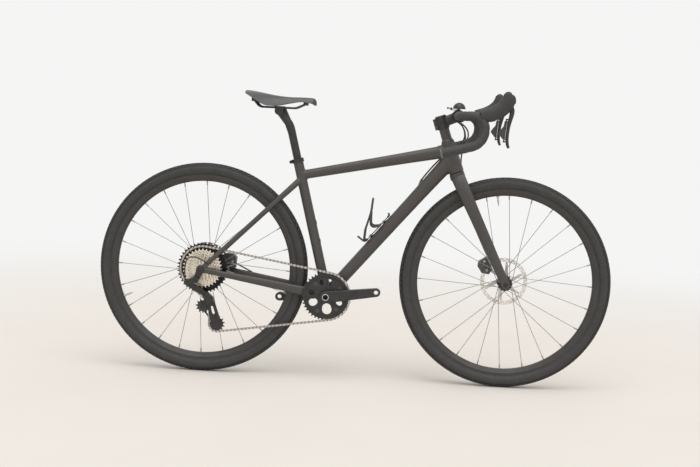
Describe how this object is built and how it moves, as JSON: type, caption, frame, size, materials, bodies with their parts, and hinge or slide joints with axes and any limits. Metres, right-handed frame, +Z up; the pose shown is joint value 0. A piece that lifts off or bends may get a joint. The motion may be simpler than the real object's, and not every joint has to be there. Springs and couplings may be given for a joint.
{
  "type": "gravel bike",
  "caption": "Gravel bike with drop handlebar, disc brakes, wide tyres, single chainring, wide-range cassette and rear derailleur; steers, rolls, pedals, brakes, and its saddle adjusts.",
  "frame": {"origin": "on the ground, midway between the wheel axles, on the bike's middle plane", "axes": "+X forward, +Y to the rider's left, +Z up"},
  "size_m": [1.7337, 0.5102, 0.9928],
  "materials": {
    "frame_paint": "matte",
    "black_alloy": "satin",
    "silver_steel": "satin",
    "bright_alloy": "satin",
    "tyre_rubber": "matte",
    "rim_black": "satin",
    "spoke_steel": "satin",
    "black_plastic": "matte",
    "tape": "matte",
    "hood_rubber": "matte",
    "saddle_skin": "matte",
    "hose": "satin",
    "steel": "satin"
  },
  "bodies": {
    "frame": {"main_frame": "frame_paint", "seat_collar": "black_alloy", "bottom_bracket": "black_alloy", "rear_caliper": "black_alloy", "rear_thru_axle": "black_alloy", "derailleur_hanger": "black_alloy", "derailleur_body": "black_alloy", "bottle_cage": "black_plastic", "cage_bolts": "steel", "rear_brake_hose": "hose", "shift_housing": "hose", "chain": "silver_steel"},
    "seatpost": {"seatpost": "black_alloy"},
    "saddle": {"saddle_cover": "saddle_skin", "saddle_base": "black_plastic", "saddle_rails": "black_alloy", "saddle_clamp": "black_alloy"},
    "front_end": {"fork": "frame_paint", "headset": "frame_paint", "stem": "black_alloy", "stem_faceplate": "black_alloy", "stem_bolts": "steel", "handlebar": "black_alloy", "bar_tape": "tape", "left_hood": "hood_rubber", "right_hood": "hood_rubber", "front_caliper": "black_alloy", "front_thru_axle": "black_alloy", "front_brake_hose": "hose", "bell": "black_alloy"},
    "bell_striker": {"bell_striker": "black_plastic"},
    "left_lever": {"left_brake_lever": "black_alloy"},
    "right_lever": {"right_brake_lever": "black_alloy"},
    "left_paddle": {"left_shift_paddle": "black_plastic"},
    "right_paddle": {"right_shift_paddle": "black_plastic"},
    "front_wheel": {"front_tyre": "tyre_rubber", "front_rim": "rim_black", "front_spokes": "spoke_steel", "front_hub": "black_alloy", "front_rotor": "silver_steel", "front_rotor_carrier": "black_alloy", "front_valve": "black_alloy"},
    "rear_wheel": {"rear_tyre": "tyre_rubber", "rear_rim": "rim_black", "rear_spokes": "spoke_steel", "rear_hub": "black_alloy", "rear_rotor": "silver_steel", "rear_rotor_carrier": "black_alloy", "rear_valve": "black_alloy"},
    "cassette": {"cassette": "silver_steel", "freehub": "steel"},
    "crank": {"right_crank": "black_alloy", "left_crank": "black_alloy", "chainring": "black_alloy", "chainring_bolts": "steel"},
    "cage": {"derailleur_cage": "black_alloy"},
    "guide_pulley": {"guide_pulley": "black_plastic"},
    "tension_pulley": {"tension_pulley": "black_plastic"}
  },
  "joints": [
    {"name": "steering", "type": "hinge", "parent": "frame", "child": "front_end", "pos_m": [0.32968, 0, 0.71979], "axis": [-0.3256, 0, 0.9455], "range_deg": [-50, 50], "deforming": ["rear_brake_hose", "shift_housing"]},
    {"name": "front_wheel_spin", "type": "hinge", "parent": "front_end", "child": "front_wheel", "pos_m": [0.511, 0, 0.356], "axis": [0, 1, 0], "continuous": true},
    {"name": "rear_wheel_spin", "type": "hinge", "parent": "frame", "child": "rear_wheel", "pos_m": [-0.511, 0, 0.356], "axis": [0, 1, 0], "continuous": true},
    {"name": "crank_spin", "type": "hinge", "parent": "frame", "child": "crank", "pos_m": [-0.08707, 0, 0.284], "axis": [0, 1, 0], "continuous": true, "deforming": ["chain"]},
    {"name": "cassette_spin", "type": "hinge", "parent": "frame", "child": "cassette", "pos_m": [-0.511, 0, 0.356], "axis": [0, 1, 0], "continuous": true},
    {"name": "cage_swing", "type": "hinge", "parent": "frame", "child": "cage", "pos_m": [-0.481, -0.036, 0.252], "axis": [0, 1, 0], "range_deg": [-28, 0], "stiffness_Nm_per_rad": 0.6, "springref_deg": 28.65, "deforming": ["chain"]},
    {"name": "guide_pulley_spin", "type": "hinge", "parent": "cage", "child": "guide_pulley", "pos_m": [-0.5055, -0.03125, 0.227], "axis": [0, 1, 0], "continuous": true},
    {"name": "tension_pulley_spin", "type": "hinge", "parent": "cage", "child": "tension_pulley", "pos_m": [-0.45626, -0.03125, 0.1678], "axis": [0, 1, 0], "continuous": true},
    {"name": "seatpost_slide", "type": "slide", "parent": "frame", "child": "seatpost", "axis": [-0.2538, 0, 0.9673], "range_m": [-0.07, 0.04]},
    {"name": "saddle_tilt", "type": "hinge", "parent": "seatpost", "child": "saddle", "pos_m": [-0.27416, 0, 0.89864], "axis": [0, 1, 0], "range_deg": [-8, 8]},
    {"name": "left_brake", "type": "hinge", "parent": "front_end", "child": "left_lever", "pos_m": [0.48193, 0.211, 0.94588], "axis": [0, 1, 0], "range_deg": [0, 16], "stiffness_Nm_per_rad": 0.8, "springref_deg": -11.46},
    {"name": "right_brake", "type": "hinge", "parent": "front_end", "child": "right_lever", "pos_m": [0.48193, -0.211, 0.94588], "axis": [0, 1, 0], "range_deg": [0, 16], "stiffness_Nm_per_rad": 0.8, "springref_deg": -11.46},
    {"name": "left_shift", "type": "hinge", "parent": "left_lever", "child": "left_paddle", "pos_m": [0.46693, 0.211, 0.83588], "axis": [0.083, 0, 0.9965], "range_deg": [0, 14], "stiffness_Nm_per_rad": 0.3, "springref_deg": -8.59},
    {"name": "right_shift", "type": "hinge", "parent": "right_lever", "child": "right_paddle", "pos_m": [0.46693, -0.211, 0.83588], "axis": [-0.083, 0, -0.9965], "range_deg": [0, 14], "stiffness_Nm_per_rad": 0.3, "springref_deg": -8.59},
    {"name": "bell_strike", "type": "hinge", "parent": "front_end", "child": "bell_striker", "pos_m": [0.29993, -0.0475, 0.93078], "axis": [0, 0, 1], "range_deg": [0, 14], "stiffness_Nm_per_rad": 0.05, "springref_deg": -11.46}
  ],
  "couplings": [
    {"joint": "cassette_spin", "follows": "crank_spin", "ratio": 1.0811},
    {"joint": "guide_pulley_spin", "follows": "crank_spin", "ratio": -3.6364},
    {"joint": "tension_pulley_spin", "follows": "crank_spin", "ratio": 3.0769}
  ]
}
